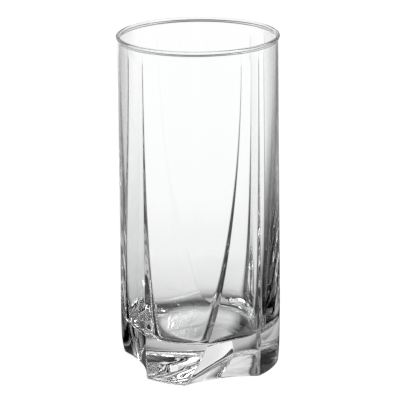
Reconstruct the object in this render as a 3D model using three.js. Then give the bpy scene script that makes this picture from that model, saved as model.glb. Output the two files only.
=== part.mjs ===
// A tall drinking glass in one piece: a round body with swept flutes, a beaded rim and a heavy base.
// Millimetres, +Z up. The origin is the middle of the underside, on the surface that the glass stands on.
import * as THREE from 'three';

// Outside
const HEIGHT = 143.8;
const RIM_DIAMETER = 68.3;
const BEAD_STEP = 0.65; // by which the bead stands proud of the neck under it
const BELLY_SWELL = 0.8; // by which the widest ring, above the base, stands proud of the neck
const BELLY_HEIGHT = 26;
const BELLY_EASE = 12; // height over which the belly turns into the straight taper above it
const FOOT_DRAW = 0.4; // by which the foot is narrower than the belly
const HEEL_RADIUS = 1.4; // rounding between the side and the underside

// Rim
const RIM_THICKNESS = 1.6; // its top is a half round of this thickness
const BEAD_HEIGHT = 2.4; // from the top of the rim to where the bead meets the neck

// Flutes: hollow panels, each with one upright edge and one edge that sweeps sideways towards the foot
const FLUTES = 4;
const FLUTE_RADIUS = 48.5; // of the hollow
const FLUTE_ANGLE_TOP = 15.8; // degrees of the round that one flute takes at the rim
const FLUTE_ANGLE_FOOT = 59.2; // and at the underside
const SWEEP_KICK = 0.27; // share of the sweep that comes in the last stretch above the foot
const SWEEP_POWER = 2; // the rest of the sweep grows with this power of the way down
const KICK_POWER = 10;
const RIDGE_RADIUS = 0.65; // rounding along both edges of a flute
const FLUTE_FADE = 6; // height over which a flute dies out under the bead

// Inside: the cavity follows the flutes, set in by the wall
const NECK_WALL = 0.8; // under the bead
const LOW_WALL = 5.2; // where the rounding of the floor begins
const WALL_SWELL = 1.75; // power of the curve by which the wall thickens on its way down
const FLUTE_WALL = 0.55; // extra wall of a flute where the rounding of the floor begins
const FLUTE_SWELL = 4.2; // power of the curve by which the extra wall grows
const NECK_CREASE = 1.8; // rounding along the edges of a flute inside, under the bead
const LOW_CREASE = 8; // where the rounding of the floor begins
const FLOOR_CREASE = 3.5; // and on the floor
const CREASE_SWELL = 7; // power of the curve between the first two
const BASE_THICKNESS = 15.9;
const FLOOR_RISE = 4.5; // height of the rounding between the wall and the floor
const FLOOR_SPAN = 18; // radius of the flat floor

// How finely each stretch is divided
const PANEL_STEPS = 7;
const RIDGE_STEPS = 2;
const FLUTE_STEPS = 6;
const HEEL_STEPS = 3;
const BODY_STEPS = 20;
const FADE_STEPS = 3;
const BEAD_STEPS = 3;
const RIM_STEPS = 6;
const MOUTH_STEPS = 2;
const CAVITY_STEPS = 14;
const FLOOR_STEPS = 6;

const { degToRad, lerp, smoothstep } = THREE.MathUtils;
const pitch = (2 * Math.PI) / FLUTES;
const rimOutside = RIM_DIAMETER / 2;
const neckRadius = rimOutside - BEAD_STEP;
const bellyRadius = neckRadius + BELLY_SWELL;
const footRadius = bellyRadius - FOOT_DRAW;
const rimRound = RIM_THICKNESS / 2;
const rimCentre = HEIGHT - rimRound;
const neckTop = HEIGHT - BEAD_HEIGHT;
const fadeStart = neckTop - FLUTE_FADE;
const floorTop = BASE_THICKNESS + FLOOR_RISE;

// Radius of the round that the flutes are cut into: it swells from the foot to the belly and tapers above it.
function bodyRadius(z) {
  const above = z - BELLY_HEIGHT;
  if (above < 0) return lerp(bellyRadius, footRadius, (above / BELLY_HEIGHT) ** 2);
  const eased = (rise) => Math.hypot(rise, BELLY_EASE) - BELLY_EASE;
  return lerp(bellyRadius, neckRadius, eased(above) / eased(neckTop - BELLY_HEIGHT));
}

// Share of the way from the neck down to the rounding of the floor.
function wayDown(z) {
  return (neckTop - z) / (neckTop - floorTop);
}

function wallAt(z) {
  return lerp(NECK_WALL, LOW_WALL, wayDown(z) ** WALL_SWELL);
}

function fluteWallAt(z) {
  return FLUTE_WALL * wayDown(z) ** FLUTE_SWELL;
}

function creaseAt(z) {
  return lerp(NECK_CREASE, LOW_CREASE, wayDown(z) ** CREASE_SWELL);
}

// Angle that one flute takes of the round at a height.
function fluteAngle(z) {
  const way = 1 - z / HEIGHT;
  const sweep = lerp(way ** SWEEP_POWER, way ** KICK_POWER, SWEEP_KICK);
  return degToRad(lerp(FLUTE_ANGLE_TOP, FLUTE_ANGLE_FOOT, sweep));
}

// Outline at a height of the body or, set in by a wall, of the cavity: round panels and hollow flutes, joined
// by arcs of the edge radius that touch both.
function outline(z, edge, wall = 0, fluteWall = 0) {
  const outside = bodyRadius(z);
  const half = fluteAngle(z) / 2;
  const reach = outside * Math.cos(half) + Math.sqrt(FLUTE_RADIUS ** 2 - (outside * Math.sin(half)) ** 2);
  const panel = outside - wall;
  const hollow = FLUTE_RADIUS + wall + fluteWall;
  const fromAxis = panel - edge;
  const fromFlute = hollow + edge;
  const spread = Math.acos((fromAxis ** 2 + reach ** 2 - fromFlute ** 2) / (2 * fromAxis * reach));
  const opening = Math.acos((fromFlute ** 2 + reach ** 2 - fromAxis ** 2) / (2 * fromFlute * reach));
  const points = [];
  const arc = (distance, direction, radius, from, to, clockwise, steps) => {
    const x = distance * Math.cos(direction);
    const y = distance * Math.sin(direction);
    const curve = new THREE.EllipseCurve(x, y, radius, radius, from, to, clockwise);
    points.push(...curve.getPoints(steps).slice(0, steps));
  };
  for (let flute = 0; flute < FLUTES; flute += 1) {
    const middle = (flute + 0.5) * pitch - half;
    const swept = middle - spread;
    const upright = middle + spread;
    const facing = middle + Math.PI;
    arc(0, 0, panel, upright - pitch, swept, false, PANEL_STEPS);
    arc(fromAxis, swept, edge, swept, middle + opening, false, RIDGE_STEPS);
    arc(reach, middle, hollow, facing + opening, facing - opening, true, FLUTE_STEPS);
    arc(fromAxis, upright, edge, middle - opening, upright, false, RIDGE_STEPS);
  }
  return points;
}

// Ring at a height from the points of an outline, each at the radius that reshape makes of its own.
function ring(points, z, reshape) {
  return points.map((point) => {
    const radius = reshape(point.length());
    return new THREE.Vector3(point.x, point.y, 0).setLength(radius).setZ(z);
  });
}

function outsideRing(z, reshape) {
  return ring(outline(z, RIDGE_RADIUS), z, reshape);
}

function insideRing(z, reshape) {
  return ring(outline(z, creaseAt(z), wallAt(z), fluteWallAt(z)), z, reshape);
}

// Plain round ring, with its points at the angles that the outline has under the rim.
function roundRing(radius, z) {
  return ring(outline(neckTop, RIDGE_RADIUS), z, () => radius);
}

// Calls make(share) with shares from just above 0 to 1.
function steps(count, make) {
  return Array.from({ length: count }, (_, index) => make((index + 1) / count));
}

function tumblerRings() {
  const quarter = Math.PI / 2;
  const rimMiddle = rimOutside - rimRound;
  const mouth = rimMiddle - rimRound;
  const keep = (radius) => radius;
  const heel = (share) => {
    const inset = HEEL_RADIUS * (1 - Math.sin(quarter * share));
    return outsideRing(HEEL_RADIUS * (1 - Math.cos(quarter * share)), (radius) => radius - inset);
  };
  const body = (share) => outsideRing(lerp(HEEL_RADIUS, fadeStart, share), keep);
  const fade = (share) => {
    const z = lerp(fadeStart, neckTop, share);
    return outsideRing(z, (radius) => lerp(radius, bodyRadius(z), smoothstep(share, 0, 1)));
  };
  const bead = (share) => {
    const radius = lerp(neckRadius, rimOutside, smoothstep(share, 0, 1));
    return roundRing(radius, lerp(neckTop, rimCentre, share));
  };
  const rim = (share) => {
    const turn = Math.PI * share;
    return roundRing(rimMiddle + rimRound * Math.cos(turn), rimCentre + rimRound * Math.sin(turn));
  };
  const insideBead = (share) => {
    return roundRing(lerp(mouth, neckRadius - NECK_WALL, share), lerp(rimCentre, neckTop, share));
  };
  const insideFade = (share) => {
    const z = lerp(neckTop, fadeStart, share);
    return insideRing(z, (radius) => lerp(bodyRadius(z) - wallAt(z), radius, smoothstep(share, 0, 1)));
  };
  const cavity = (share) => insideRing(lerp(fadeStart, floorTop, share), keep);
  const floor = (share) => {
    const turn = quarter * share;
    const points = outline(floorTop, lerp(LOW_CREASE, FLOOR_CREASE, share), LOW_WALL, FLUTE_WALL);
    const narrowed = (radius) => lerp(radius, FLOOR_SPAN, 1 - Math.cos(turn));
    return ring(points, floorTop - FLOOR_RISE * Math.sin(turn), narrowed);
  };
  return [
    heel(0),
    ...steps(HEEL_STEPS, heel),
    ...steps(BODY_STEPS, body),
    ...steps(FADE_STEPS, fade),
    ...steps(BEAD_STEPS, bead),
    ...steps(RIM_STEPS, rim),
    ...steps(MOUTH_STEPS, insideBead),
    ...steps(FADE_STEPS, insideFade),
    ...steps(CAVITY_STEPS, cavity),
    ...steps(FLOOR_STEPS, floor),
  ];
}

// Skin over the rings, closed by a fan on the underside and another on the floor inside.
function skin(rings) {
  const columns = rings[0].length;
  const points = rings.flat();
  const underside = points.push(new THREE.Vector3(0, 0, 0)) - 1;
  const floor = points.push(new THREE.Vector3(0, 0, BASE_THICKNESS)) - 1;
  const last = (rings.length - 1) * columns;
  const index = [];
  for (let column = 0; column < columns; column += 1) {
    const next = (column + 1) % columns;
    index.push(underside, next, column);
    for (let row = 0; row < last; row += columns) {
      index.push(row + column, row + next, row + columns + next);
      index.push(row + column, row + columns + next, row + columns + column);
    }
    index.push(last + column, last + next, floor);
  }
  const geometry = new THREE.BufferGeometry().setFromPoints(points);
  geometry.setIndex(index);
  geometry.computeVertexNormals();
  return geometry;
}

const clearGlass = new THREE.MeshStandardMaterial({ color: 0xf1f5f4, roughness: 0.03, metalness: 0 });
const tumbler = new THREE.Mesh(skin(tumblerRings()), clearGlass);
tumbler.name = 'tumbler';

const glass = new THREE.Group();
glass.add(tumbler);

export default glass;
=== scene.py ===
# %% [markdown]
# # A pressed juice glass
# This lesson dresses one drinking glass. The solid model arrives as a fixed frame that gives its size and
# its place, and everything here is made around it: the camera, a fine surface for the glass, its finish and
# a small studio. Lengths are metres, +Z is up, and the glass stands on the plane z = 0.

# %% Load the frame
import math

import bmesh
import bpy
from mathutils import Matrix, Vector


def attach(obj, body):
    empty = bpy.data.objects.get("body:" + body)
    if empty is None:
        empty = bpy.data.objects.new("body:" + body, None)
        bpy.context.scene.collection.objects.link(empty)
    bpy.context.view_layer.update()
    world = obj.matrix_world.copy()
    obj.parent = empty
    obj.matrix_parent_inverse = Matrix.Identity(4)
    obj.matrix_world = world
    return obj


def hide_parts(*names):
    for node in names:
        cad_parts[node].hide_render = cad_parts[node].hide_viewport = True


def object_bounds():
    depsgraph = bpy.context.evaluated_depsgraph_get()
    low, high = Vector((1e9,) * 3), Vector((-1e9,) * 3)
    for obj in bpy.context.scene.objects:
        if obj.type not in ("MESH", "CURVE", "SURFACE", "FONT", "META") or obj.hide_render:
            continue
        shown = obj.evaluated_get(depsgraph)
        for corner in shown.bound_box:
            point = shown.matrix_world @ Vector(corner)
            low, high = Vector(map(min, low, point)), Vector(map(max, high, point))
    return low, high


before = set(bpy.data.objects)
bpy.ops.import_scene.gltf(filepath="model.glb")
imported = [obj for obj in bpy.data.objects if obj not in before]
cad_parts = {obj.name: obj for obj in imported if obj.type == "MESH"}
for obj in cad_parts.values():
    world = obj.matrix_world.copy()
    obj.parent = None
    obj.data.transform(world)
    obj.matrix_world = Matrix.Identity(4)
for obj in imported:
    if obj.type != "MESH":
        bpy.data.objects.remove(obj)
cad_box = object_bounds()
MM = 0.001
HEIGHT = cad_box[1].z
print("frame:", sorted(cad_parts), "height", round(HEIGHT / MM, 1), "mm")

# %% [markdown]
# ## The camera
# A long lens looks slightly down at the glass. The numbers come from fitting the rim, the side edges and the
# foot of the glass to the photograph, whose side is 400 pixels: a focal length in pixels becomes a lens in
# millimetres through the sensor width. A camera looks along its own -Z, so the three axes of the view are
# built as vectors and written into the camera's matrix. That keeps the slight tilt of the picture, too.

# %% Place the camera
PHOTO_SIDE = 400
PHOTO_CENTRE = (199.37, 199.89)
FOCAL_PIXELS = 2076.6
SENSOR = 36.0
VIEW_AZIMUTH = math.radians(-2.407)
VIEW_ELEVATION = math.radians(17.114)
VIEW_TILT = math.radians(-0.557)
VIEW_DISTANCE = 0.8815
AIM = Vector((0, 0, 0.0717))

back = Vector((
    math.sin(VIEW_AZIMUTH) * math.cos(VIEW_ELEVATION),
    -math.cos(VIEW_AZIMUTH) * math.cos(VIEW_ELEVATION),
    math.sin(VIEW_ELEVATION),
))
level_right = Vector((math.cos(VIEW_AZIMUTH), math.sin(VIEW_AZIMUTH), 0))
level_up = back.cross(level_right)
tilt = Matrix.Rotation(VIEW_TILT, 3, back)
axes = Matrix((tilt @ level_right, tilt @ level_up, back)).transposed()

bpy.ops.object.camera_add()
camera = bpy.context.object
camera.name = "photo_camera"
camera.matrix_world = Matrix.Translation(AIM + back * VIEW_DISTANCE) @ axes.to_4x4()
camera.data.sensor_width = SENSOR
camera.data.lens = SENSOR * FOCAL_PIXELS / PHOTO_SIDE
camera.data.shift_x = 0.5 - PHOTO_CENTRE[0] / PHOTO_SIDE
camera.data.shift_y = PHOTO_CENTRE[1] / PHOTO_SIDE - 0.5
bpy.context.scene.camera = camera
print("camera:", round(camera.data.lens), "mm lens at", [round(v, 3) for v in camera.location])

# %% [markdown]
# ## The outline of the glass
# Seen from above, the glass is a round with four hollow flutes pressed into it. Each flute keeps one upright
# edge, while its other edge sweeps sideways on the way down, so the flute is narrow at the rim and wide at
# the foot. Both edges are rounded ridges. An arc for the round panel, an arc for the hollow and a small arc
# that touches both at each ridge give the outline at any height, so a handful of sizes describes the body.

# %% Sizes of the outside
RIM_RADIUS = 34.15 * MM
NECK_RADIUS = 33.5 * MM
BELLY_RADIUS = 34.3 * MM
BELLY_HEIGHT = 26 * MM
BELLY_EASE = 12 * MM
FOOT_RADIUS = 33.9 * MM
HEEL_RADIUS = 1.4 * MM
RIM_THICKNESS = 1.6 * MM
BEAD_HEIGHT = 2.4 * MM
FLUTES = 4
FLUTE_RADIUS = 48.5 * MM
FLUTE_ANGLE_TOP = math.radians(15.8)
FLUTE_ANGLE_FOOT = math.radians(59.2)
SWEEP_KICK = 0.27
SWEEP_POWER = 2
KICK_POWER = 10
RIDGE_RADIUS = 0.65 * MM
FLUTE_FADE = 6 * MM

PITCH = math.tau / FLUTES
RIM_ROUND = RIM_THICKNESS / 2
RIM_CENTRE = HEIGHT - RIM_ROUND
NECK_TOP = HEIGHT - BEAD_HEIGHT
FADE_START = NECK_TOP - FLUTE_FADE


def mix(a, b, share):
    return a + (b - a) * share


def ease(share):
    return share * share * (3 - 2 * share)


def body_radius(z):
    """Radius of the round that the flutes are pressed into."""
    above = z - BELLY_HEIGHT
    if above < 0:
        return mix(BELLY_RADIUS, FOOT_RADIUS, (above / BELLY_HEIGHT) ** 2)
    eased = math.hypot(above, BELLY_EASE) - BELLY_EASE
    whole = math.hypot(NECK_TOP - BELLY_HEIGHT, BELLY_EASE) - BELLY_EASE
    return mix(BELLY_RADIUS, NECK_RADIUS, eased / whole)


def flute_angle(z):
    """Share of the round that one flute takes at a height, as an angle."""
    way = 1 - z / HEIGHT
    sweep = mix(way ** SWEEP_POWER, way ** KICK_POWER, SWEEP_KICK)
    return mix(FLUTE_ANGLE_TOP, FLUTE_ANGLE_FOOT, sweep)


print("flute angle at foot and rim:", [round(math.degrees(flute_angle(z)), 1) for z in (0, HEIGHT)])

# %% Points of the outline
PANEL_STEPS = 12
RIDGE_STEPS = 4
FLUTE_STEPS = 9
COLUMNS = FLUTES * (PANEL_STEPS + 2 * RIDGE_STEPS + FLUTE_STEPS)


def towards(angle, distance):
    return Vector((distance * math.cos(angle), distance * math.sin(angle)))


def arc(centre, radius, start, end, steps):
    """Points along an arc, without its last one."""
    return [centre + towards(mix(start, end, step / steps), radius) for step in range(steps)]


def outline(z, wall=0, ridge=RIDGE_RADIUS, flute_wall=0):
    """Outline at a height, counter-clockwise, of the body or, set in by a wall, of the cavity. Each flute
    adds a panel, a ridge, its hollow and another ridge."""
    outside = body_radius(z)
    half = flute_angle(z) / 2
    reach = outside * math.cos(half) + math.sqrt(FLUTE_RADIUS ** 2 - (outside * math.sin(half)) ** 2)
    body = outside - wall
    hollow = FLUTE_RADIUS + wall + flute_wall
    from_axis = body - ridge
    from_flute = hollow + ridge
    spread = math.acos((from_axis ** 2 + reach ** 2 - from_flute ** 2) / (2 * from_axis * reach))
    opening = math.acos((from_flute ** 2 + reach ** 2 - from_axis ** 2) / (2 * from_flute * reach))
    points = []
    for flute in range(FLUTES):
        middle = (flute + 0.5) * PITCH - half
        swept, upright, facing = middle - spread, middle + spread, middle + math.pi
        points += arc(Vector((0, 0)), body, upright - PITCH, swept, PANEL_STEPS)
        points += arc(towards(swept, from_axis), ridge, swept, middle + opening, RIDGE_STEPS)
        points += arc(towards(middle, reach), hollow, facing + opening, facing - opening, FLUTE_STEPS)
        points += arc(towards(upright, from_axis), ridge, middle - opening, upright, RIDGE_STEPS)
    return points


print("outline:", len(outline(0)), "points, expected", COLUMNS)

# %% [markdown]
# ## The inside and the list of rings
# The plunger that presses the cavity follows the flutes, so they show inside, too. The wall is thin at the
# neck and swells on the way down, a little more at the flutes than at the panels, and the creases inside
# grow softer. A wide rounding leads to the floor above the heavy base. Written as a list of rings, the glass
# starts at the heel, climbs the outside, goes over the bead and the rim, and comes down inside. This is the
# order in which the surface is extruded.

# %% Sizes of the inside
NECK_WALL = 0.8 * MM
LOW_WALL = 5.2 * MM
WALL_SWELL = 1.75
FLUTE_WALL = 0.55 * MM
FLUTE_SWELL = 4.2
NECK_CREASE = 1.8 * MM
LOW_CREASE = 8 * MM
CREASE_SWELL = 7
FLOOR_CREASE = 3.5 * MM
BASE_THICKNESS = 15.9 * MM
FLOOR_RISE = 4.5 * MM
FLOOR_SPAN = 18 * MM
FLOOR_TOP = BASE_THICKNESS + FLOOR_RISE


def way_down(z):
    """Share of the way from the neck down to the rounding of the floor."""
    return (NECK_TOP - z) / (NECK_TOP - FLOOR_TOP)


def wall_at(z):
    return mix(NECK_WALL, LOW_WALL, way_down(z) ** WALL_SWELL)


def flute_wall_at(z):
    return FLUTE_WALL * way_down(z) ** FLUTE_SWELL


def crease_at(z):
    return mix(NECK_CREASE, LOW_CREASE, way_down(z) ** CREASE_SWELL)


print("wall at neck and floor:", [round(wall_at(z) / MM, 1) for z in (NECK_TOP, FLOOR_TOP)], "mm")

# %% Kinds of rings


def ring_of(points, z, reshape=None):
    """Ring at a height from outline points, each at the radius that reshape makes of its own."""
    if reshape:
        points = [point.normalized() * reshape(point.length) for point in points]
    return [Vector((point.x, point.y, z)) for point in points]


def round_ring(radius, z):
    """Plain round ring at the angles that the outline has under the rim."""
    return ring_of(outline(NECK_TOP), z, lambda own: radius)


def heel_ring(share):
    turn = share * math.pi / 2
    z = HEEL_RADIUS * (1 - math.cos(turn))
    inset = HEEL_RADIUS * (1 - math.sin(turn))
    return ring_of(outline(z), z, lambda radius: radius - inset)


def fade_ring(z, wall):
    """Ring of the stretch under the bead, where the flutes die out into the round."""
    share = ease((z - FADE_START) / FLUTE_FADE)
    full = body_radius(z) - wall
    ridge = crease_at(z) if wall else RIDGE_RADIUS
    return ring_of(outline(z, wall, ridge), z, lambda radius: mix(radius, full, share))


def rim_ring(share):
    turn = share * math.pi
    radius = RIM_RADIUS - RIM_ROUND * (1 - math.cos(turn))
    return round_ring(radius, RIM_CENTRE + RIM_ROUND * math.sin(turn))


def floor_ring(share):
    """Ring of the rounding that leads from the wall to the floor."""
    turn = share * math.pi / 2
    z = FLOOR_TOP - FLOOR_RISE * math.sin(turn)
    points = outline(FLOOR_TOP, LOW_WALL, mix(LOW_CREASE, FLOOR_CREASE, share), FLUTE_WALL)
    return ring_of(points, z, lambda radius: mix(radius, FLOOR_SPAN, 1 - math.cos(turn)))


print("heel:", round(heel_ring(0)[0].length / MM, 1), "mm from the axis")

# %% List of rings
HEEL_STEPS = 4
BODY_STEPS = 44
FADE_STEPS = 5
BEAD_STEPS = 5
RIM_STEPS = 8
MOUTH_STEPS = 2
CAVITY_STEPS = 40
FLOOR_STEPS = 9


def steps(count):
    """Even shares from just above 0 to 1."""
    return [(step + 1) / count for step in range(count)]


mouth = RIM_RADIUS - RIM_THICKNESS
neck_cavity = NECK_RADIUS - NECK_WALL
rings = [heel_ring(share) for share in [0] + steps(HEEL_STEPS)]
for share in steps(BODY_STEPS):
    z = mix(HEEL_RADIUS, FADE_START, share)
    rings.append(ring_of(outline(z), z))
rings += [fade_ring(mix(FADE_START, NECK_TOP, share), 0) for share in steps(FADE_STEPS)]
for share in steps(BEAD_STEPS):
    rings.append(round_ring(mix(NECK_RADIUS, RIM_RADIUS, ease(share)), mix(NECK_TOP, RIM_CENTRE, share)))
rings += [rim_ring(share) for share in steps(RIM_STEPS)]
for share in steps(MOUTH_STEPS):
    rings.append(round_ring(mix(mouth, neck_cavity, share), mix(RIM_CENTRE, NECK_TOP, share)))
for share in steps(FADE_STEPS):
    z = mix(NECK_TOP, FADE_START, share)
    rings.append(fade_ring(z, wall_at(z)))
for share in steps(CAVITY_STEPS):
    z = mix(FADE_START, FLOOR_TOP, share)
    rings.append(ring_of(outline(z, wall_at(z), crease_at(z), flute_wall_at(z)), z))
rings += [floor_ring(share) for share in steps(FLOOR_STEPS)]
print("rings:", len(rings))

# %% [markdown]
# ## Modelling the glass
# A bare circle is the start. In edit mode the open edge is extruded once for each ring, and the new ring is
# then set on its outline. What is left open, the floor inside and the underside, is drawn in by extruding
# and scaling, and merged in the middle. Each ring is lifted a little: the floor of a pressed glass is
# slightly domed, and its underside is pressed in, so that it stands on the rim of its foot. One level of
# Subdivision Surface rounds the cage off: clear glass bends every ray by its normals, so an uneven surface
# would show at once.

# %% Start circle
bpy.ops.object.select_all(action="DESELECT")
bpy.ops.mesh.primitive_circle_add(vertices=COLUMNS, radius=FOOT_RADIUS, location=(0, 0, 0))
tumbler = bpy.context.object
tumbler.name = "pressed_glass_tumbler"
tumbler.data.name = "pressed_glass_tumbler"
print("start circle:", len(tumbler.data.vertices), "vertices")

# %% Extrude the rings
ANGLE_SLACK = 1e-4


def set_ring(ring, first):
    """Moves the selected loop to a ring. Counting starts at the vertex that lies towards the point first."""
    mesh = bmesh.from_edit_mesh(tumbler.data)
    start = math.atan2(first.y, first.x) - ANGLE_SLACK
    loop = [vertex for vertex in mesh.verts if vertex.select]
    loop.sort(key=lambda vertex: (math.atan2(vertex.co.y, vertex.co.x) - start) % math.tau)
    for vertex, place in zip(loop, ring, strict=True):
        vertex.co = place
    bmesh.update_edit_mesh(tumbler.data)


bpy.ops.object.mode_set(mode="EDIT")
bpy.ops.mesh.select_mode(type="VERT")
bpy.ops.mesh.select_all(action="SELECT")
set_ring(rings[0], rings[0][0])
for below, ring in zip(rings, rings[1:]):
    rise = ring[0].z - below[0].z
    bpy.ops.mesh.extrude_region_move(TRANSFORM_OT_translate={"value": (0, 0, rise)})
    set_ring(ring, below[0])
print("wall:", len(bmesh.from_edit_mesh(tumbler.data).faces), "faces")

# %% Close the floor and the underside
DRAW_IN = (0.97, 0.94, 0.9, 0.85, 0.8, 0.72, 0.64, 0.55, 0.45, 0.35, 0.25, 0.15, 0.07)
FLOOR_CROWN = 0.9 * MM
UNDERSIDE_HOLLOW = 1.0 * MM


def draw_in(rise):
    """Closes the selected loop by ever smaller rings, given as shares of it, and merges the last one. The
    surface is domed by a rise in the middle."""
    reach = 1
    for inner in DRAW_IN:
        lift = rise * (reach ** 2 - inner ** 2)
        share = inner / reach
        bpy.ops.mesh.extrude_region_move(TRANSFORM_OT_translate={"value": (0, 0, lift)})
        bpy.ops.transform.resize(value=(share, share, 1), center_override=(0, 0, 0))
        reach = inner
    bpy.ops.mesh.extrude_region_move(TRANSFORM_OT_translate={"value": (0, 0, rise * reach ** 2)})
    bpy.ops.mesh.merge(type="CENTER")


draw_in(FLOOR_CROWN)
bpy.ops.mesh.select_all(action="DESELECT")
mesh = bmesh.from_edit_mesh(tumbler.data)
for edge in mesh.edges:
    if edge.is_boundary:
        edge.select_set(True)
bmesh.update_edit_mesh(tumbler.data)
draw_in(UNDERSIDE_HOLLOW)
bpy.ops.mesh.select_all(action="SELECT")
bpy.ops.mesh.normals_make_consistent(inside=False)
bpy.ops.object.mode_set(mode="OBJECT")
print("closed cage:", len(tumbler.data.polygons), "faces")

# %% Round the cage off
rounding = tumbler.modifiers.new("rounding", "SUBSURF")
rounding.levels = 1
rounding.render_levels = 1
bpy.ops.object.modifier_apply(modifier=rounding.name)
bpy.ops.object.shade_smooth()
tumbler.data.calc_loop_triangles()
print("glass:", len(tumbler.data.loop_triangles), "triangles")

# %% [markdown]
# ## Clear pressed glass
# Soda-lime glass bends light by 1.52 and has next to no colour of its own. Its surface took the shape of an
# iron mould while it was soft and was then polished by flame, so it is bright but never quite flat: long,
# very shallow ripples run over it. The flame doesn't reach the underside, where the glass cooled on the
# bottom of the mould, so the waves are deeper there, and the thick base shows them as swirls of light. Two
# noises give the heights for one Bump node, and a third makes the polish a touch uneven. Of the helpers, one
# wires up a Math node and another a smooth step: both are used again for the studio.

# %% Helpers for nodes


def new_material(name):
    material = bpy.data.materials.new(name)
    material.use_nodes = True
    nodes = material.node_tree.nodes
    nodes.clear()
    return material, nodes, material.node_tree.links


def plug(links, socket, value):
    """Sets a socket to a number, or links it to another node's output."""
    if isinstance(value, (int, float)):
        socket.default_value = value
    else:
        links.new(value, socket)


def math_node(nodes, links, operation, *values):
    node = nodes.new("ShaderNodeMath")
    node.operation = operation
    for socket, value in zip(node.inputs, values):
        plug(links, socket, value)
    return node.outputs[0]


def soft_step(nodes, links, value, low, high, start=0, end=1):
    """start below low, end above high and a smooth change between them."""
    node = nodes.new("ShaderNodeMapRange")
    node.interpolation_type = "SMOOTHSTEP"
    given = {"Value": value, "From Min": low, "From Max": high, "To Min": start, "To Max": end}
    for name, number in given.items():
        plug(links, node.inputs[name], number)
    return node.outputs["Result"]


def noise(nodes, links, place, scale, bend=0):
    node = nodes.new("ShaderNodeTexNoise")
    node.inputs["Scale"].default_value = scale
    node.inputs["Detail"].default_value = 1
    node.inputs["Distortion"].default_value = bend
    links.new(place.outputs["Object"], node.inputs["Vector"])
    return node.outputs["Fac"]


print("helpers ready")

# %% Finish of the glass
GLASS_IOR = 1.52
GLASS_COLOUR = (0.99, 0.995, 0.993, 1)
RIPPLE_PER_METRE = 45
RIPPLE_DEPTH = 0.012 * MM
WAVES_PER_METRE = 30
WAVE_DEPTH = 0.35 * MM
WAVE_BEND = 4
UNDERSIDE_TOP = (0.1 * MM, 0.8 * MM)
POLISH_PER_METRE = 70
POLISH_PATCHES = (0.3, 0.7)
POLISH = (0.0, 0.01)

clear_glass, nodes, links = new_material("clear_pressed_glass")
output = nodes.new("ShaderNodeOutputMaterial")
glass = nodes.new("ShaderNodeBsdfPrincipled")
glass.inputs["Base Color"].default_value = GLASS_COLOUR
glass.inputs["IOR"].default_value = GLASS_IOR
glass.inputs["Transmission Weight"].default_value = 1
links.new(glass.outputs["BSDF"], output.inputs["Surface"])
place = nodes.new("ShaderNodeTexCoord")
split = nodes.new("ShaderNodeSeparateXYZ")
links.new(place.outputs["Object"], split.inputs["Vector"])
ripple = math_node(nodes, links, "MULTIPLY", noise(nodes, links, place, RIPPLE_PER_METRE), RIPPLE_DEPTH)
depth = soft_step(nodes, links, split.outputs["Z"], *UNDERSIDE_TOP, WAVE_DEPTH, 0)
wave = math_node(nodes, links, "MULTIPLY", noise(nodes, links, place, WAVES_PER_METRE, WAVE_BEND), depth)
bump = nodes.new("ShaderNodeBump")
bump.inputs["Distance"].default_value = 1
links.new(math_node(nodes, links, "ADD", ripple, wave), bump.inputs["Height"])
links.new(bump.outputs["Normal"], glass.inputs["Normal"])
patches = noise(nodes, links, place, POLISH_PER_METRE)
links.new(soft_step(nodes, links, patches, *POLISH_PATCHES, *POLISH), glass.inputs["Roughness"])
tumbler.data.materials.append(clear_glass)
print("finish:", clear_glass.name)

# %% [markdown]
# ## The studio
# Clear glass has hardly any look of its own: it shows what stands around it. Photographers put such a glass
# on a white sweep, with white paper behind it and a black card at each side. The white shines through the
# body, and the cards come into view wherever the glass bends the light far enough: along the ridges and the
# edges of the base. A dark strip low in the room behind draws the line of the rim, and a soft box on the
# right, in front of the glass and above it, adds small bright reflections.
# Here the floor and the world carry those tones. What the camera sees directly stays white, and what is seen
# through the glass is graded: white behind, black at the sides, light again in front, a painted shadow close
# behind the foot that fades out further back, and painted light right under the glass. Both need the same
# step, so a node group does it once: it takes a direction and the tones of the three parts and blends from
# one part to the next.

# %% Helpers for the studio's nodes


def blend(nodes, links, share, first, second):
    node = nodes.new("ShaderNodeMix")
    node.data_type = "FLOAT"
    links.new(share, node.inputs["Factor"])
    links.new(first, node.inputs["A"])
    links.new(second, node.inputs["B"])
    return node.outputs["Result"]


def ramp_of(nodes, links, value, stops):
    """Grey by a value, through a colour ramp with stops of value and tone."""
    low, high = stops[0][0], stops[-1][0]
    scale = nodes.new("ShaderNodeMapRange")
    scale.inputs["From Min"].default_value = low
    scale.inputs["From Max"].default_value = high
    links.new(value, scale.inputs["Value"])
    ramp = nodes.new("ShaderNodeValToRGB")
    elements = ramp.color_ramp.elements
    while len(elements) < len(stops):
        elements.new(1.0)
    for element, (stop, tone) in zip(elements, stops, strict=True):
        element.position = (stop - low) / (high - low)
        element.color = (tone, tone, tone, 1)
    links.new(scale.outputs["Result"], ramp.inputs["Fac"])
    return ramp.outputs["Color"]


def bearing(nodes, links, given, apex, turn=0):
    """Degrees off the way straight back, or off a turn from it, seen from an apex in front of the middle."""
    away = math_node(nodes, links, "ADD", given["Away"], given[apex])
    angle = math_node(nodes, links, "DEGREES", math_node(nodes, links, "ARCTAN2", given["Across"], away))
    return math_node(nodes, links, "ABSOLUTE", math_node(nodes, links, "SUBTRACT", angle, turn))


print("studio helpers ready")

# %% Node group for the tones all round
REAR_PLACES = ("Rear Apex", "Rear Turn", "Rear Inner", "Rear Outer")
FRONT_PLACES = ("Front Apex", "Front Inner", "Front Outer")
PARTS = ("Behind", "Sides", "Front")


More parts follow.
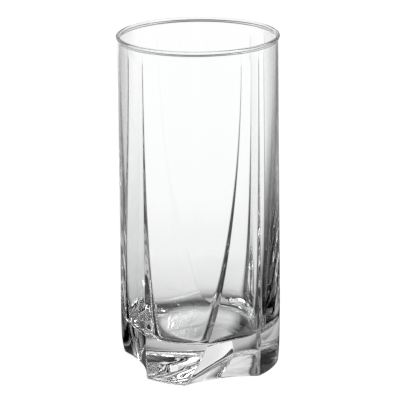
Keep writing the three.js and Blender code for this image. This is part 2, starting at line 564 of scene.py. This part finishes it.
def all_round_group():
    """Tone by direction: the part behind gives way to the sides from Rear Inner to Rear Outer, and the sides
    to the part in front from Front Inner to Front Outer."""
    group = bpy.data.node_groups.new("all_round", "ShaderNodeTree")
    for name in ("Across", "Away", *REAR_PLACES, *FRONT_PLACES, *PARTS):
        group.interface.new_socket(name=name, in_out="INPUT", socket_type="NodeSocketFloat")
    group.interface.new_socket(name="Tone", in_out="OUTPUT", socket_type="NodeSocketFloat")
    nodes, links = group.nodes, group.links
    given = nodes.new("NodeGroupInput").outputs
    off_rear = bearing(nodes, links, given, "Rear Apex", given["Rear Turn"])
    off_rear = soft_step(nodes, links, off_rear, given["Rear Inner"], given["Rear Outer"])
    rear = blend(nodes, links, off_rear, given["Behind"], given["Sides"])
    to_front = bearing(nodes, links, given, "Front Apex")
    to_front = soft_step(nodes, links, to_front, given["Front Inner"], given["Front Outer"])
    tone = blend(nodes, links, to_front, rear, given["Front"])
    links.new(tone, nodes.new("NodeGroupOutput").inputs["Tone"])
    return group


all_round_tree = all_round_group()


def all_round(nodes, links, split, value, tones, cards):
    """Tone by a value, for each part; cards says where the two side cards begin and end."""
    node = nodes.new("ShaderNodeGroup")
    node.node_tree = all_round_tree
    links.new(split.outputs["X"], node.inputs["Across"])
    links.new(split.outputs["Y"], node.inputs["Away"])
    for name, number in cards.items():
        node.inputs[name].default_value = number
    for part, stops in tones.items():
        links.new(ramp_of(nodes, links, value, stops), node.inputs[part])
    return node.outputs["Tone"]


print("node group:", all_round_tree.name)

# %% [markdown]
# ### The floor
# A large white sheet lies just under the glass. To the camera it is bright paper that still takes a soft
# shadow: a glow and a matt white together. To every other ray it shows the tones, which are given by the
# distance from the middle of the glass in metres. Behind the glass they hold a painted shadow, darkest in a
# ring at the foot and fading out further back, and painted light right under the glass, where light would
# come through it. The two apexes are in metres too, and the other places of the cards in degrees.

# %% Floor
FLOOR_SIDE = 12
FLOOR_DROP = 0.02 * MM
PAPER_GLOW = 0.85
PAPER_MATT = 0.6
FLOOR_CARDS = {
    "Rear Apex": 0.03,
    "Rear Turn": -3,
    "Rear Inner": 15,
    "Rear Outer": 25,
    "Front Apex": 0.09,
    "Front Inner": 50,
    "Front Outer": 70,
}
# painted light right under the glass, then a ring of painted shadow at the foot
UNDER_FOOT_PAINTED_LIGHT_AND_SHADOW = ((0, 0.3), (0.02, 0.9), (0.03, 0), (0.036, 0.02))
# painted shadow behind the foot, fading to white further back
BEHIND_FOOT_PAINTED_SHADOW = ((0.044, 0.5), (0.08, 0.8), (0.12, 0.95), (0.2, 1))
FLOOR_TONES = {
    "Behind": UNDER_FOOT_PAINTED_LIGHT_AND_SHADOW + BEHIND_FOOT_PAINTED_SHADOW,
    "Sides": ((0.02, 0), (0.03, 0.15), (0.04, 0), (0.15, 0), (0.25, 0.15), (0.35, 0.25)),
    "Front": ((0.08, 0.65), (0.35, 1)),
}
bpy.ops.object.select_all(action="DESELECT")
bpy.ops.mesh.primitive_plane_add(size=FLOOR_SIDE, location=(0, 0, -FLOOR_DROP))
floor = bpy.context.object
floor.name = "studio_floor"
print("floor:", floor.name, FLOOR_SIDE, "m wide")

# %% Finish of the floor
floor_finish, nodes, links = new_material("studio_floor")
output = nodes.new("ShaderNodeOutputMaterial")
place = nodes.new("ShaderNodeTexCoord")
split = nodes.new("ShaderNodeSeparateXYZ")
links.new(place.outputs["Object"], split.inputs["Vector"])
reach = nodes.new("ShaderNodeVectorMath")
reach.operation = "LENGTH"
links.new(place.outputs["Object"], reach.inputs[0])
tone = all_round(nodes, links, split, reach.outputs["Value"], FLOOR_TONES, FLOOR_CARDS)
graded = nodes.new("ShaderNodeEmission")
links.new(tone, graded.inputs["Color"])
paper = nodes.new("ShaderNodeEmission")
paper.inputs["Strength"].default_value = PAPER_GLOW
matt = nodes.new("ShaderNodeBsdfDiffuse")
matt.inputs["Color"].default_value = (PAPER_MATT, PAPER_MATT, PAPER_MATT, 1)
sheet = nodes.new("ShaderNodeAddShader")
links.new(paper.outputs["Emission"], sheet.inputs[0])
links.new(matt.outputs["BSDF"], sheet.inputs[1])
path = nodes.new("ShaderNodeLightPath")
whole = nodes.new("ShaderNodeMixShader")
links.new(path.outputs["Is Camera Ray"], whole.inputs["Fac"])
links.new(graded.outputs["Emission"], whole.inputs[1])
links.new(sheet.outputs["Shader"], whole.inputs[2])
links.new(whole.outputs["Shader"], output.inputs["Surface"])
floor.data.materials.append(floor_finish)
print("finish:", floor_finish.name)

# %% [markdown]
# ### The soft box and the room
# The soft box is one square area lamp. The room is the world: its tones are given by the degrees above the
# horizon. A direction has no distance, so its cards need no apex, and those sockets stay at 0. Light passes
# through many surfaces of a glass before it comes out again, so the bounces go up, or the base turns black.

# %% Soft box
BOX_SIDE = 0.5
BOX_WATTS = 4
BOX_DISTANCE = 1.2
BOX_BEARING = math.radians(116)
BOX_RISE = math.radians(40)
from_box = Vector((
    math.sin(BOX_BEARING) * math.cos(BOX_RISE),
    math.cos(BOX_BEARING) * math.cos(BOX_RISE),
    math.sin(BOX_RISE),
))
bpy.ops.object.light_add(type="AREA", location=AIM + from_box * BOX_DISTANCE)
soft_box = bpy.context.object
soft_box.name = "soft_box"
soft_box.data.size = BOX_SIDE
soft_box.data.energy = BOX_WATTS
soft_box.rotation_euler = from_box.to_track_quat("Z", "Y").to_euler()
print("lamp:", soft_box.name, [round(v, 2) for v in soft_box.location])

# %% World
LIGHT_BOUNCES = 64
WORLD_CARDS = {
    "Rear Turn": -8,
    "Rear Inner": 20,
    "Rear Outer": 28,
    "Front Inner": 90,
    "Front Outer": 120,
}
WORLD_TONES = {
    "Behind": ((0, 0.05), (5, 0.05), (10, 0.9), (20, 0.7), (30, 0.2)),
    "Sides": ((0, 0), (35, 0.05), (60, 0)),
    "Front": ((0, 0), (15, 0), (25, 0.7), (35, 1), (60, 0.6)),
}
scene = bpy.context.scene
world = bpy.data.worlds.new("studio_room")
scene.world = world
world.use_nodes = True
nodes, links = world.node_tree.nodes, world.node_tree.links
nodes.clear()
output = nodes.new("ShaderNodeOutputWorld")
light = nodes.new("ShaderNodeBackground")
place = nodes.new("ShaderNodeTexCoord")
split = nodes.new("ShaderNodeSeparateXYZ")
links.new(place.outputs["Generated"], split.inputs["Vector"])
rise = math_node(nodes, links, "DEGREES", math_node(nodes, links, "ARCSINE", split.outputs["Z"]))
tone = all_round(nodes, links, split, rise, WORLD_TONES, WORLD_CARDS)
path = nodes.new("ShaderNodeLightPath")
seen = math_node(nodes, links, "MAXIMUM", path.outputs["Is Camera Ray"], tone)
links.new(seen, light.inputs["Color"])
links.new(light.outputs["Background"], output.inputs["Surface"])
scene.view_settings.view_transform = "Standard"
scene.cycles.max_bounces = LIGHT_BOUNCES
scene.cycles.transmission_bounces = LIGHT_BOUNCES
scene.cycles.glossy_bounces = LIGHT_BOUNCES
print("world:", world.name)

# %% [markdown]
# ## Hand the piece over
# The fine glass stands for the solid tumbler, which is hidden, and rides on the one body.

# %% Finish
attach(tumbler, "root")
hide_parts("tumbler")
